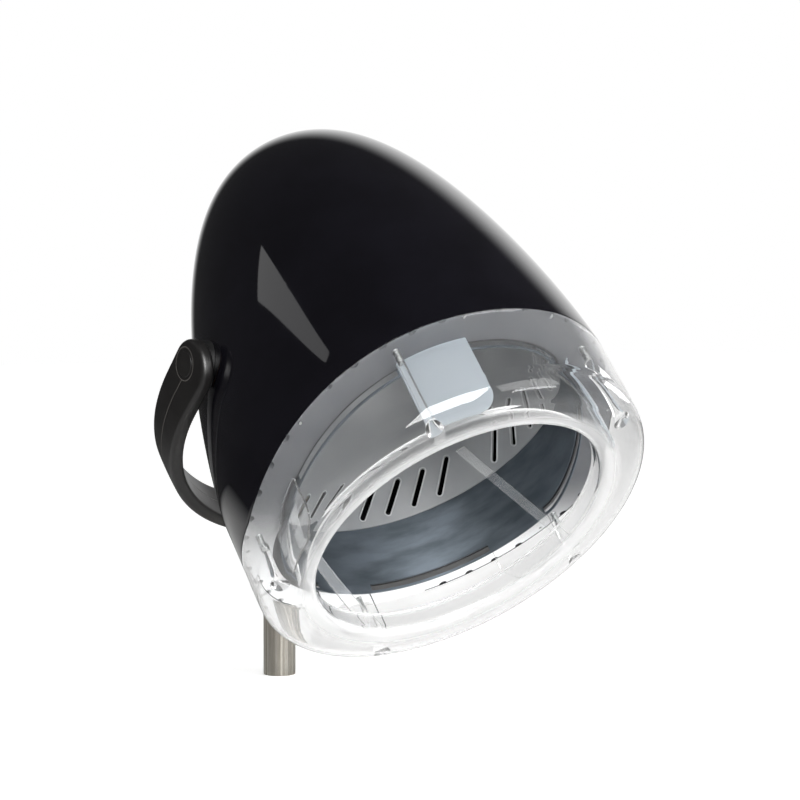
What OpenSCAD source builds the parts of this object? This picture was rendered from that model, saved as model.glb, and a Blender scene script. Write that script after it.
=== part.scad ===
// Salon hood hair dryer head: tilting hood with a clear visor, carried by a
// U-shaped yoke that swivels on the top of a column tube.
// Frame: origin at the lower end of the column tube, +Z up the column,
// the front of the hood faces -Y. Millimetres.

/* [Hood shell] */
// Outer radius of the hood at its widest
hood_r = 200; // [180:1:225]
// Height of the hood from the visor floor to the apex
hood_h = 479; // [440:1:560]
// Height at which the straight skirt turns into the dome
dome_start = 105; // [90:1:120]
// Wall of the outer shell
shell_wall = 3; // [2:0.5:4]
// How far the hood leans back from upright at rest
hood_pitch = 41.2; // [30:0.1:55]
// Lowest height of the joint line between shell and visor, at the back
seam_low = 54; // [50:1:60]
// How much higher the joint line is at the front
seam_rise = 56; // [40:1:60]
// How far behind the hood axis the joint line starts to rise
seam_from = 36; // [20:1:60]
// Width from the outside of the hood to the opening of the visor
rim_w = 53; // [48:1:60]

/* [Visor] */
// Wall of the clear visor
visor_wall = 3; // [2:0.5:4]
// Radius of the rolled lower edge
visor_roll = 21; // [12:1:26]
// Height of the turned-up lip
lip_h = 24; // [12:1:32]
// Tilt of the visor floor against the hood axis
mouth_tilt = 4.2; // [0:0.1:6]
// Distance of the visor posts' middles from the outside of the hood
post_inset = 17; // [15:1:20]
// Radius of one visor post
post_r = 5; // [3:0.5:7]
// How much wider a post is at its foot
post_flare = 3.5; // [0:0.5:4]
// How deep the screws reach into the posts
screw_reach = 16; // [10:1:20]

/* [Inner bowl] */
// Width of the air chamber, from the outside of the hood to the bowl
chamber_w = 43; // [40:1:48]
// Height at which skirt and diffuser panel meet
bowl_split = 118; // [112:1:126]
// Gap between the top of the diffuser panel and the fan shroud
shroud_gap = 22; // [15:1:40]
// How far the slotted band of the panel leans in from upright
band_lean = 12; // [6:1:14]
// Wall of the diffuser panel
bowl_wall = 2; // [1.5:0.5:3]
// Wall of the sheet metal skirt
skirt_wall = 1.2; // [0.8:0.1:2]
// How far the skirt hangs below the flange
skirt_drop = 8; // [6:1:14]
// Width of one air slot
slot_w = 6; // [4:0.5:8]
// Length of one air slot, ends included
slot_len = 42; // [25:1:46]
// Slant of the air slots against upright
slot_slant = 38; // [0:1:40]
// Angle between neighbouring air slots
slot_pitch = 10.8; // [9:0.1:12]
// Height of the return-air windows in the skirt
window_h = 7; // [5:0.5:9]
// Arc that one return-air window covers
window_arc = 47; // [30:1:56]

/* [Yoke] */
// How far the arms run inside the widest part of the hood
arm_inset = 10; // [8:1:12]
// Thickness of the yoke strap
yoke_t = 14; // [12:1:18]
// Width of the strap at the tilt pivots
yoke_w_pivot = 57; // [48:1:62]
// Width of the strap at the column
yoke_w_back = 44; // [34:1:48]
// Width and depth of the decorative groove around the pivots and down the strap
groove_w = 1; // [0.6:0.1:1.6]
// Straight length of an arm, from its round end to the half ring
arm_straight = 31.4; // [28:0.2:60]
// Slope of the strap down to the column
bow_slope = 45; // [42:1:48]
// How far the tilt axis lies above the middle line of the strap
pivot_rise = 7; // [0:0.5:8]
// Height of the tilt axis on the hood, above the visor floor
pivot_h = 228; // [215:1:240]
// Distance of the tilt axis behind the hood axis
pivot_back = 17.5; // [0:0.5:25]
// Radius of the tilt pivot bolts
pivot_r = 6; // [5:0.5:8]

/* [Column] */
// Outer radius of the column tube
column_r = 17; // [15:0.5:20]
// Wall of the column tube
column_wall = 2; // [1.5:0.5:3]
// Height of the strap's middle above the lower end of the tube
column_top = 170; // [168:1:260]
// Length of the tube's lower end that goes into the stand
spigot_len = 90; // [60:1:92]

/* [Fan and heater] */
// Radius of the motor can
motor_r = 34; // [26:1:38]
// Length of the motor can
motor_len = 41; // [30:1:46]
// Radius of the fan wheel
wheel_r = 60; // [50:1:64]
// Number of blades on the fan wheel
wheel_blades = 14; // [8:1:20]
// Distance of the fan deck below the apex of the hood
deck_drop = 81; // [77:1:89]
// Radius of the tubular heating ring
heater_r = 48; // [38:1:54]

/* [Controls] */
// Distance of the flat control panel from the outside of the hood
panel_inset = 18; // [14:1:20]
// Height of the knobs above the visor floor
knob_z = 165; // [155:1:175]
// Distance of each knob from the middle of the panel
knob_x = 38; // [30:1:45]
// Radius of a knob
knob_r = 17; // [12:1:19]

/* [Fits] */
// Gap between seated pieces that do not move
seat = 0.3; // [0.2:0.05:0.5]
// Radial clearance of a running fit
run = 0.05; // [0.03:0.01:0.1]

/* [Hidden] */
$fn = 96;
eps = 0.01;

// Dome curve: r = R (1 - u^flare)^(1/round), u running from the skirt to the apex
dome_flare = 1.33;
dome_round = 2.56;
dome_steps = 22;
bowl_round = 2.3;
bowl_steps = 14;

// Derived places
bowl_r = hood_r - chamber_w;
mouth_r = hood_r - rim_w;
post_circle_r = hood_r - post_inset;
panel_y = hood_r - panel_inset;
deck_z = hood_h - deck_drop;
seam_run = seam_from + 1.15 * hood_r;
seam_steps = 26;
seam_top = seam_low + seam_rise;
yoke_half = hood_r - arm_inset;
arm_out = yoke_half + yoke_t;
bow_mid_r = yoke_half + yoke_t / 2;
bow_reach = bow_mid_r + arm_straight;
// Middle of the strap's round ends, and the tilt axis a little above it
strap_start = [0, -bow_reach * cos(bow_slope), column_top + bow_reach * sin(bow_slope)];
tilt_axis = strap_start + pivot_rise * [0, sin(bow_slope), cos(bow_slope)];
arm_bore_r = pivot_r + 2.5;
groove_d = 0.6;
groove_ring_r = pivot_r + 10;
groove_start = sqrt(pow(groove_ring_r, 2) - pow(pivot_rise, 2));
head_h = 4;
head_pocket_r = pivot_r + 7;
head_x = arm_out - 6;
spacer_x = yoke_half - 1.5;
bush_r = column_r + 3.5;
hub_r = bush_r + 4.5;
hub_low = column_top - 53;
hub_high = column_top + 17;
post_angles = [36, 108, 180, 252, 324];
boss_angles = [15, 68, 115, 245, 292, 345];
boss_circle_r = hood_r - 8;
flange_t = 4;
notch_r = 4.2;
// Half-round notches along the flange's edge, left out beside the bosses
notch_angles = [
    for (i = [0:41])
        let (angle = 4 + i * 360 / 42)
            if (min([for (boss = boss_angles) abs(angle - boss)]) > 5) angle
];
shroud_r = wheel_r + 10;
shroud_low = deck_z - 68;
shaft_r = 3;
panel_t = 3;
band_h = 50;
band_r = bowl_r - band_h * tan(band_lean);
slot_mid = bowl_split + band_h / 2;
slots_in_group = 7;
slot_groups = 4;
slot_turn = 77;
window_turn = 155;
tongue_t = 2;
tongue_r = bowl_r + 8 * (bowl_split - 20) / 98 + seat;
visor_tuck = 0.9;
// Where the outer face of the dome lies on the tilt axis
pivot_ring_r = dome_radius((pivot_h - dome_start) / (hood_h - dome_start), hood_r);
pivot_face_x = sqrt(pivot_ring_r * pivot_ring_r - pivot_back * pivot_back);
pad_x = pivot_face_x - 17.5;
nut_h = 6;
nut_x = pad_x - seat - nut_h;
pivot_shank_x = nut_x - 1.7;
// Half-width of the flat panel and the places of what is on it
flat_half = sqrt(pow(hood_r - shell_wall, 2) - panel_y * panel_y);
gland_x = flat_half - 15.4;
lip_bend = 8;
grille_r = 36;
grille_tilt = 55;
wheel_low = deck_z - 38;

// ---------- shared shapes ----------

function dome_radius(u, r) = r * pow(max(0, 1 - pow(u, dome_flare)), 1 / dome_round);

function dome_u(i) = 1 - pow(1 - i / dome_steps, 2);

function dome_curve(r, top) = [
    for (i = [0:dome_steps])
        [dome_radius(dome_u(i), r), dome_start + (top - dome_start) * dome_u(i)]
];

// Solid of revolution of the hood, taken in by inset on all sides
module dome_solid(inset = 0) {
    rotate_extrude()
        polygon(concat(
            [[0, -40], [hood_r - inset, -40]],
            dome_curve(hood_r - inset, hood_h - inset)));
}

function bowl_radius(u, r) = r * pow(max(0, 1 - pow(u, bowl_round)), 1 / bowl_round);

function bowl_u(i) = sin(90 * i / bowl_steps);

// Half outline of the domed top of the diffuser panel, above its slotted band
function bowl_curve(r, depth) = [
    for (i = [0:bowl_steps])
        [bowl_radius(bowl_u(i), r), bowl_split + band_h + depth * bowl_u(i)]
];

// Joint line in side view: level at the back, a soft rise, level at the front
function seam_z(t) = seam_low + seam_rise * pow((1 - cos(180 * t)) / 2, 0.6);

// Everything above the joint line, reaching extra further down
module above_seam(extra = 0) {
    rotate([90, 0, 90])
        linear_extrude(height = 2 * hood_r + 100, center = true)
            polygon(concat(
                [[hood_r + 50, hood_h + 50], [hood_r + 50, seam_low - extra]],
                [for (i = [0:seam_steps])
                    [seam_from - seam_run * i / seam_steps, seam_z(i / seam_steps) - extra]],
                [[-hood_r - 50, seam_top - extra], [-hood_r - 50, hood_h + 50]]));
}

// From the hood's own upright frame to its place on the yoke
module on_hood() {
    translate(tilt_axis)
        rotate([-hood_pitch, 0, 0])
            translate([0, -pivot_back, -pivot_h])
                children();
}

// Frame with +X along the tilt axis, in the hood's own frame
module at_pivot(side) {
    translate([0, pivot_back, pivot_h])
        rotate([0, side * 90, 0])
            children();
}

// Frame of the visor floor, tilted a little against the hood axis
module on_mouth() {
    translate([0, 0, visor_roll - 1])
        rotate([-mouth_tilt, 0, 0])
            translate([0, 0, 1 - visor_roll])
                children();
}

// Polar place in the hood frame, 0 degrees at the front
module around(angle, radius) {
    rotate([0, 0, angle])
        translate([0, -radius, 0])
            children();
}

// ---------- column ----------

module column_tube() {
    color("#a8a49a")
        difference() {
            cylinder(r = column_r, h = column_top + 10);
            translate([0, 0, -1])
                cylinder(r = column_r - column_wall, h = column_top + 6);
            translate([0, 0, spigot_len])
                difference() {
                    cylinder(r = column_r + 1, h = 2);
                    translate([0, 0, -1])
                        cylinder(r = column_r - 0.4, h = 4);
                }
        }
}

module stop_collar() {
    color("#3a3a3a")
        difference() {
            translate([0, 0, hub_low - 18])
                cylinder(r = hub_r + 1, h = 15.8);
            cylinder(r = column_r + run, h = hub_low);
            translate([0, 0, hub_low - 10])
                rotate([90, 0, 0])
                    cylinder(r = 3 + run, h = hub_r + 2, $fn = 32);
        }
}

module collar_screw() {
    color("#8b8b8b")
        translate([0, -hub_r - 0.5, hub_low - 10])
            rotate([-90, 0, 0])
                cylinder(r = 3, h = hub_r + 0.5 - column_r - seat, $fn = 32);
}

module thrust_washer() {
    color("#d8d5c8")
        translate([0, 0, hub_low - 2])
            difference() {
                cylinder(r = hub_r - 1, h = 1.8);
                translate([0, 0, -1])
                    cylinder(r = column_r + seat, h = 4);
            }
}

// ---------- yoke ----------

// Side view of the strap: round ends at the pivots, tapering to the back
module strap_side() {
    circle(r = yoke_w_pivot / 2);
    polygon([
        [0, -yoke_w_pivot / 2],
        [bow_reach + yoke_t, -yoke_w_back / 2],
        [bow_reach + yoke_t, yoke_w_back / 2],
        [0, yoke_w_pivot / 2]
    ]);
}

// Plan of the strap: two straight arms joined by a half ring
module strap_plan() {
    difference() {
        union() {
            translate([0, arm_straight])
                circle(r = arm_out, $fn = 180);
            translate([-arm_out, -yoke_w_pivot])
                square([2 * arm_out, yoke_w_pivot + arm_straight]);
        }
        translate([0, arm_straight])
            circle(r = yoke_half, $fn = 180);
        translate([-yoke_half, -yoke_w_pivot - 1])
            square([2 * yoke_half, yoke_w_pivot + arm_straight + 1]);
    }
}

module strap() {
    translate(strap_start)
        rotate([-bow_slope, 0, 0])
            intersection() {
                translate([0, 0, -yoke_w_pivot])
                    linear_extrude(height = 2 * yoke_w_pivot)
                        strap_plan();
                rotate([90, 0, 90])
                    translate([0, 0, -arm_out - 1])
                        linear_extrude(height = 2 * arm_out + 2)
                            strap_side();
            }
}

// Fine groove along the middle of the strap's outer face, pivot to pivot
module strap_groove() {
    translate(strap_start)
        rotate([-bow_slope, 0, 0])
            translate([0, 0, -groove_w / 2])
                difference() {
                    union() {
                        translate([0, arm_straight])
                            cylinder(r = arm_out + 1, h = groove_w, $fn = 180);
                        translate([-arm_out - 1, groove_start])
                            cube([2 * arm_out + 2, arm_straight - groove_start, groove_w]);
                    }
                    translate([0, arm_straight, -1])
                        cylinder(r = arm_out - groove_d, h = groove_w + 2, $fn = 180);
                    translate([-arm_out + groove_d, -yoke_w_pivot, -1])
                        cube([2 * (arm_out - groove_d), yoke_w_pivot + arm_straight, groove_w + 2]);
                    translate([-arm_out - 2, groove_start - 300, -1])
                        cube([2 * arm_out + 4, 300, groove_w + 2]);
                }
}

module yoke_bow() {
    color("#2f2e2d")
        difference() {
            union() {
                strap();
                translate([0, 0, hub_low])
                    cylinder(r = hub_r, h = hub_high - hub_low);
            }
            translate([0, 0, hub_low - 1])
                cylinder(r = bush_r, h = 200);
            translate([0, 0, hub_high])
                cylinder(r = hub_r + seat, h = 50);
            for (side = [-1, 1])
                translate(tilt_axis)
                    rotate([0, side * 90, 0]) {
                        translate([0, 0, yoke_half - 2])
                            cylinder(r = arm_bore_r, h = yoke_t + 4);
                        translate([0, 0, head_x])
                            cylinder(r = head_pocket_r, h = yoke_t);
                        translate([0, 0, arm_out - groove_d])
                            difference() {
                                cylinder(r = groove_ring_r + groove_w / 2, h = 2);
                                translate([0, 0, -1])
                                    cylinder(r = groove_ring_r - groove_w / 2, h = 4);
                            }
                    }
            strap_groove();
        }
}

module swivel_bush() {
    color("#e4e0d4")
        translate([0, 0, hub_low + 0.5])
            difference() {
                cylinder(r = bush_r - 0.02, h = 62);
                translate([0, 0, -1])
                    cylinder(r = column_r + run, h = 70);
            }
}

module hub_cap() {
    color("#242322") {
        translate([0, 0, hub_high + seat])
            cylinder(r = hub_r, h = 3);
        translate([0, 0, hub_high - 5])
            cylinder(r = bush_r - seat, h = 5 + seat + eps);
    }
}

module pivot_bushes() {
    color("#c9b27a")
        for (side = [-1, 1])
            translate(tilt_axis)
                rotate([0, side * 90, 0])
                    translate([0, 0, yoke_half])
                        difference() {
                            cylinder(r = arm_bore_r - 0.02, h = head_x - yoke_half);
                            translate([0, 0, -1])
                                cylinder(r = pivot_r + run, h = yoke_t);
                        }
}

module pivot_cap(side) {
    color("#353433")
        translate(tilt_axis)
            rotate([0, side * 90, 0])
                translate([0, 0, arm_out - 1.4])
                    cylinder(r = head_pocket_r - 0.2, h = 1.9);
}

module pivot_cap_left() {
    pivot_cap(-1);
}

module pivot_cap_right() {
    pivot_cap(1);
}

// ---------- hood shell ----------

module grille_axis() {
    translate([0, 0, hood_h - 179])
        rotate([grille_tilt - 90, 0, 0])
            translate([0, 0, 110])
                children();
}

module outer_shell() {
    color("#15151a")
        on_hood()
            difference() {
                intersection() {
                    union() {
                        difference() {
                            dome_solid();
                            dome_solid(shell_wall);
                        }
                        intersection() {
                            dome_solid(shell_wall - 1);
                            difference() {
                                for (angle = boss_angles)
                                    around(angle, boss_circle_r)
                                        translate([0, 0, 40])
                                            cylinder(r = 6, h = 120, $fn = 32);
                                for (angle = boss_angles)
                                    around(angle, boss_circle_r)
                                        translate([0, 0, 30])
                                            cylinder(r = 1.8, h = 150, $fn = 24);
                                seam_low_slice();
                                above_seam(-flange_t - 24);
                            }
                        }
                    }
                    above_seam();
                }
                translate([-hood_r, panel_y, 0])
                    cube([2 * hood_r, hood_r, hood_h]);
                for (side = [-1, 1])
                    at_pivot(side)
                        translate([0, 0, 100])
                            cylinder(r = pivot_r + seat, h = hood_r);
                grille_axis()
                    cylinder(r = grille_r + seat, h = hood_r);
            }
}

// Space taken by the bowl flange above the joint line
module seam_low_slice() {
    difference() {
        translate([0, 0, -60])
            cylinder(r = hood_r + 10, h = 220);
        above_seam(-flange_t - 2 * seat);
    }
}

module intake_grille() {
    color("#1c1c20")
        on_hood()
            difference() {
                intersection() {
                    difference() {
                        dome_solid(0.4);
                        dome_solid(shell_wall);
                    }
                    grille_axis()
                        cylinder(r = grille_r, h = hood_r);
                }
                grille_axis()
                    intersection() {
                        cylinder(r = grille_r - 5, h = hood_r);
                        for (i = [-3:3])
                            translate([-grille_r, i * 9 - 2.5, 0])
                                cube([2 * grille_r, 5, hood_r]);
                    }
            }
}

// ---------- visor ----------

// Point on the rolled edge at angle a, d inside its outer face
function roll_point(a, d) = [
    hood_r - visor_tuck - visor_roll + (visor_roll - d) * cos(a),
    visor_roll + (visor_roll - d) * sin(a)
];

// Point on the small bend between the floor and the turned-up lip
function lip_point(a, d) = [
    mouth_r + lip_bend + (lip_bend - d) * cos(a),
    lip_bend + (lip_bend - d) * sin(a)
];

function reversed(list) = [for (i = [len(list) - 1:-1:0]) list[i]];

roll_outside = [for (a = [0:-10:-90]) roll_point(a, 0)];
roll_inside = [for (a = [0:-10:-90]) roll_point(a, visor_wall - 2 * visor_tuck * cos(a))];
lip_outside = [for (a = [-90:-15:-180]) lip_point(a, 0)];
lip_inside = [for (a = [-90:-15:-180]) lip_point(a, visor_wall)];

module visor() {
    color("#dfe6ea", 0.35)
        on_hood() {
            difference() {
                cylinder(r = hood_r, h = seam_top + 30);
                translate([0, 0, -1])
                    cylinder(r = hood_r - visor_wall, h = seam_top + 40);
                above_seam(seat);
                on_mouth()
                    translate([0, 0, visor_roll - 81])
                        cylinder(r = hood_r + 30, h = 80);
            }
            on_mouth()
                rotate_extrude()
                    polygon(concat(
                        [[hood_r - visor_tuck, visor_roll + 3]],
                        roll_outside,
                        lip_outside,
                        [[mouth_r, lip_h], [mouth_r + visor_wall, lip_h]],
                        reversed(lip_inside),
                        reversed(roll_inside),
                        [[hood_r - visor_wall + visor_tuck, visor_roll + 3]]));
        }
}

// Space above the visor floor, a seating gap inside its inner face
module visor_cavity() {
    rotate_extrude()
        polygon(concat(
            [[0, 200], [0, visor_wall + seat]],
            [for (a = [-90:10:0]) roll_point(a, visor_wall + seat)],
            [[hood_r - visor_tuck - visor_wall - seat, 200]]));
}

// Height that the tilted visor floor has at a post
function mouth_tilt_drop(angle) = post_circle_r * cos(angle) * sin(mouth_tilt);

module visor_posts() {
    color("#e6ecef", 0.4)
        on_hood()
            difference() {
                intersection() {
                    for (angle = post_angles)
                        around(angle, post_circle_r) {
                            translate([0, 0, -20])
                                cylinder(r = post_r, h = 170, $fn = 32);
                            translate([0, 0, mouth_tilt_drop(angle) - 5])
                                cylinder(r1 = post_r + 2 * post_flare, r2 = post_r, h = 20, $fn = 32);
                        }
                    on_mouth()
                        visor_cavity();
                }
                above_seam(seat);
                intersection() {
                    for (angle = post_angles)
                        around(angle, post_circle_r)
                            cylinder(r = 2 + run, h = 150, $fn = 24);
                    above_seam(screw_reach + 2);
                }
            }
}

module post_screws() {
    color("#b4b4b0")
        on_hood()
            difference() {
                intersection() {
                    for (angle = post_angles)
                        around(angle, post_circle_r)
                            cylinder(r = 2, h = 150, $fn = 24);
                    above_seam(screw_reach);
                }
                above_seam(-flange_t);
            }
}

// ---------- inner bowl ----------

// Solid inside the sheet metal skirt's outer face, a slim cone
module skirt_cone(grow) {
    translate([0, 0, 20])
        cylinder(r1 = bowl_r + 8 + grow, r2 = bowl_r + grow, h = bowl_split - 20);
}

module bowl_flange() {
    color("#9a9c9e")
        on_hood()
            difference() {
                intersection() {
                    dome_solid(shell_wall + seat);
                    above_seam();
                }
                above_seam(-flange_t);
                skirt_cone(seat);
                translate([0, 0, bowl_split - 1])
                    cylinder(r = bowl_r + seat, h = 50);
                for (angle = boss_angles)
                    around(angle, boss_circle_r)
                        cylinder(r = 2, h = 150, $fn = 24);
                for (angle = notch_angles)
                    around(angle, hood_r - shell_wall - seat)
                        cylinder(r = notch_r, h = 150, $fn = 24);
                for (angle = post_angles)
                    around(angle, post_circle_r)
                        cylinder(r = 2 + run, h = 150, $fn = 24);
            }
}

module flange_screws() {
    color("#b4b4b0")
        on_hood()
            difference() {
                intersection() {
                    for (angle = boss_angles)
                        around(angle, boss_circle_r)
                            translate([0, 0, 40])
                                cylinder(r = 1.6, h = 110, $fn = 24);
                    above_seam();
                }
                above_seam(-flange_t - 12);
            }
}

module bowl_skirt() {
    color("#6f7a80")
        on_hood()
            difference() {
                intersection() {
                    skirt_cone(0);
                    above_seam(skirt_drop);
                }
                skirt_cone(-skirt_wall);
                translate([0, 0, bowl_split - 1])
                    cylinder(r = bowl_r - skirt_wall, h = 5);
                intersection() {
                    difference() {
                        above_seam(skirt_drop - 2.5);
                        above_seam(skirt_drop - 2.5 - window_h);
                    }
                    for (i = [0:4])
                        rotate([0, 0, window_turn + 72 * i - 90 - window_arc / 2])
                            rotate_extrude(angle = window_arc)
                                translate([bowl_r - 20, 0])
                                    square([40, bowl_split]);
                }
            }
}

// Slanted air slot with round ends, cut outwards through the wall of the panel
module slot_cut() {
    translate([0, -band_r + 12, 0])
        rotate([90, 0, 0])
            linear_extrude(height = bowl_r - band_r + 16)
                rotate([0, 0, slot_slant]) {
                    square([slot_w, slot_len - slot_w], center = true);
                    for (end = [-1, 1])
                        translate([0, end * (slot_len - slot_w) / 2])
                            circle(r = slot_w / 2, $fn = 24);
                }
}

// Groups of slots with a plain stretch between them
slot_angles = [
    for (group = [0:slot_groups - 1], i = [0:slots_in_group - 1])
        slot_turn + group * 360 / slot_groups + (i - (slots_in_group - 1) / 2) * slot_pitch
];

module diffuser_panel() {
    dome = shroud_low - shroud_gap - bowl_split - band_h;
    color("#606164")
        on_hood() {
            rotate_extrude()
                polygon(concat(
                    bowl_curve(band_r, dome),
                    reversed(bowl_curve(band_r - bowl_wall, dome - bowl_wall))));
            difference() {
                translate([0, 0, bowl_split + seat])
                    cylinder(r1 = bowl_r, r2 = band_r, h = band_h - seat);
                translate([0, 0, bowl_split + seat])
                    cylinder(r1 = bowl_r - bowl_wall, r2 = band_r - bowl_wall, h = band_h - seat);
                for (angle = slot_angles)
                    rotate([0, 0, angle])
                        translate([0, 0, slot_mid])
                            slot_cut();
            }
        }
}

// Height of the tilted visor floor under a tongue
function mouth_floor(angle) = tongue_r * cos(angle) * sin(mouth_tilt);

// Tongue seen square on: one lower corner sharp, the other well rounded
module tongue_outline(half_w, corner) {
    difference() {
        translate([-half_w, 0])
            square([2 * half_w, seam_top + 20]);
        translate([half_w - corner, 0])
            difference() {
                square(corner + 1);
                translate([0, corner])
                    circle(r = corner);
            }
    }
}

// Clear tongues beside the posts, one between each two return-air windows
module visor_tongues() {
    half_w = (bowl_r + 7) * tan((72 - window_arc) / 2 - 0.5);
    corner = 24;
    color("#e6ecef", 0.4)
        on_hood()
            difference() {
                intersection() {
                    cylinder(r = tongue_r + tongue_t, h = seam_top);
                    for (i = [0:4])
                        rotate([0, 0, window_turn + 36 + 72 * i])
                            translate([0, 0, mouth_floor(window_turn + 36 + 72 * i)])
                                translate([0, -bowl_r + 10, 12])
                                    rotate([90, 0, 0])
                                        linear_extrude(height = 40)
                                            tongue_outline(half_w, corner);
                }
                translate([0, 0, -1])
                    cylinder(r = tongue_r, h = seam_top + 2);
                above_seam(seat);
            }
}

// ---------- tilt pivots ----------

module pivot_spacer(side) {
    color("#2b2b2b")
        on_hood()
            difference() {
                at_pivot(side)
                    translate([0, 0, pivot_face_x - 30])
                        cylinder(r = 22, h = spacer_x - pivot_face_x + 30);
                dome_solid(-seat);
                at_pivot(side)
                    cylinder(r = pivot_r + run, h = hood_r);
            }
}

module pivot_spacer_left() {
    pivot_spacer(-1);
}

module pivot_spacer_right() {
    pivot_spacer(1);
}

module pivot_pad(side) {
    color("#8f9294")
        on_hood()
            difference() {
                intersection() {
                    at_pivot(side)
                        translate([0, 0, pad_x])
                            cylinder(r = 20, h = 40);
                    dome_solid(shell_wall + seat);
                }
                at_pivot(side)
                    cylinder(r = pivot_r + run, h = hood_r);
            }
}

module pivot_pad_left() {
    pivot_pad(-1);
}

module pivot_pad_right() {
    pivot_pad(1);
}

module pivot_bolts() {
    color("#b9b9b4")
        on_hood()
            for (side = [-1, 1])
                at_pivot(side) {
                    translate([0, 0, pivot_shank_x])
                        cylinder(r = pivot_r, h = head_x + seat + eps - pivot_shank_x);
                    translate([0, 0, head_x + seat])
                        cylinder(r = pivot_r + 5, h = head_h);
                }
}

module pivot_nuts() {
    color("#b9b9b4")
        on_hood()
            for (side = [-1, 1])
                at_pivot(side)
                    translate([0, 0, nut_x])
                        difference() {
                            cylinder(r = pivot_r + 4, h = nut_h, $fn = 6);
                            translate([0, 0, -1])
                                cylinder(r = pivot_r + run, h = nut_h + 2);
                        }
}

module friction_washers() {
    color("#b58a4a")
        on_hood()
            for (side = [-1, 1])
                at_pivot(side)
                    translate([0, 0, spacer_x + 0.2])
                        difference() {
                            cylinder(r = 20, h = 1);
                            translate([0, 0, -1])
                                cylinder(r = pivot_r + seat, h = 3);
                        }
}

// ---------- fan, motor and heater ----------

module fan_deck() {
    color("#55585a")
        on_hood()
            difference() {
                intersection() {
                    dome_solid(shell_wall + seat);
                    translate([0, 0, deck_z])
                        cylinder(r = hood_r, h = 3);
                }
                cylinder(r = wheel_r - 14, h = hood_h);
            }
}

module fan_shroud() {
    color("#8f9294")
        on_hood()
            translate([0, 0, shroud_low])
                difference() {
                    union() {
                        cylinder(r = shroud_r + 2, h = deck_z - seat - shroud_low);
                        translate([0, 0, deck_z - seat - shroud_low - 2])
                            cylinder(r = shroud_r + 12, h = 2);
                    }
                    translate([0, 0, -1])
                        cylinder(r = shroud_r, h = hood_h);
                }
}

module motor_bracket() {
    color("#8f9294")
        on_hood()
            difference() {
                union() {
                    translate([0, 0, deck_z + 8])
                        cylinder(r = 22, h = 3);
                    for (angle = [60, 180, 300])
                        rotate([0, 0, angle]) {
                            translate([-6, 15, deck_z + 8.5])
                                cube([12, wheel_r - 9, 2]);
                            translate([0, wheel_r, deck_z + 3 + seat])
                                cylinder(r = 5, h = 6, $fn = 32);
                        }
                }
                cylinder(r = 9, h = hood_h);
            }
}

module motor_bearing() {
    color("#c9b27a")
        on_hood()
            translate([0, 0, deck_z + 4])
                difference() {
                    cylinder(r = 8.98, h = 7);
                    translate([0, 0, -1])
                        cylinder(r = shaft_r + run, h = 9);
                }
}

module motor() {
    color("#7c7f82")
        on_hood()
            translate([0, 0, deck_z + 11 + seat])
                difference() {
                    union() {
                        cylinder(r = motor_r, h = motor_len);
                        translate([0, 0, motor_len])
                            cylinder(r = motor_r / 3, h = 6);
                    }
                    translate([0, 0, -1])
                        cylinder(r = shaft_r + run, h = motor_len - 10);
                }
}

module motor_shaft() {
    color("#c4c4c0")
        on_hood()
            translate([0, 0, wheel_low])
                cylinder(r = shaft_r, h = deck_z + 11 + motor_len / 2 - wheel_low, $fn = 48);
}

module impeller() {
    color("#3b3d40")
        on_hood()
            translate([0, 0, wheel_low])
                difference() {
                    union() {
                        cylinder(r = wheel_r, h = 2);
                        cylinder(r = 12, h = 24);
                        for (i = [0:wheel_blades - 1])
                            rotate([0, 0, i * 360 / wheel_blades])
                                translate([wheel_r - 8, 0, 0])
                                    rotate([0, 0, 35])
                                        translate([-8, -0.8, 1])
                                            cube([14, 1.6, 29]);
                        translate([0, 0, 29])
                            difference() {
                                cylinder(r = wheel_r, h = 2);
                                translate([0, 0, -1])
                                    cylinder(r = wheel_r - 14, h = 4);
                            }
                    }
                    translate([0, 0, -1])
                        cylinder(r = shaft_r + 0.02, h = 40, $fn = 48);
                }
}

module heater_frame() {
    color("#cfc9b4")
        on_hood()
            translate([0, 0, shroud_low + 1])
                difference() {
                    cylinder(r = shroud_r - seat, h = 14);
                    translate([0, 0, 4])
                        cylinder(r = shroud_r - 3, h = 30);
                    for (i = [0:3])
                        rotate([0, 0, 90 * i + 3])
                            translate([0, 0, -1])
                                rotate_extrude(angle = 84)
                                    translate([14, 0])
                                        square([shroud_r - 19, 30]);
                }
}

module heater_element() {
    color("#8d6a4a")
        on_hood()
            translate([0, 0, shroud_low + 5 + seat + 3.5]) {
                rotate([0, 0, 15])
                    rotate_extrude(angle = 330)
                        translate([heater_r, 0])
                            circle(r = 3.5, $fn = 24);
                for (a = [15, 345])
                    rotate([0, 0, a])
                        translate([heater_r, 0, 0])
                            cylinder(r = 2, h = 14, $fn = 24);
            }
}

module thermostat() {
    color("#1e1e1e")
        on_hood()
            translate([0, 0, shroud_low + 5 + seat])
                cylinder(r = 8, h = 9);
}

// ---------- controls ----------

module on_panel(x, z) {
    translate([x, panel_y, z])
        rotate([-90, 0, 0])
            children();
}

module control_panel() {
    color("#2a2a2d")
        on_hood()
            difference() {
                intersection() {
                    dome_solid(shell_wall + seat);
                    translate([-hood_r, panel_y - panel_t, 0])
                        cube([2 * hood_r, panel_t, hood_h]);
                    above_seam(-flange_t - 2 * seat);
                }
                for (x = [-knob_x, knob_x])
                    on_panel(x, knob_z)
                        translate([0, 0, -10])
                            cylinder(r = shaft_r + 1, h = 20, $fn = 32);
                on_panel(0, knob_z - 28)
                    translate([0, 0, -10])
                        cylinder(r = 5 + seat, h = 20, $fn = 32);
                on_panel(-gland_x, knob_z - 58)
                    translate([0, 0, -10])
                        cylinder(r = 7 + seat, h = 20, $fn = 32);
            }
}

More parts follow.
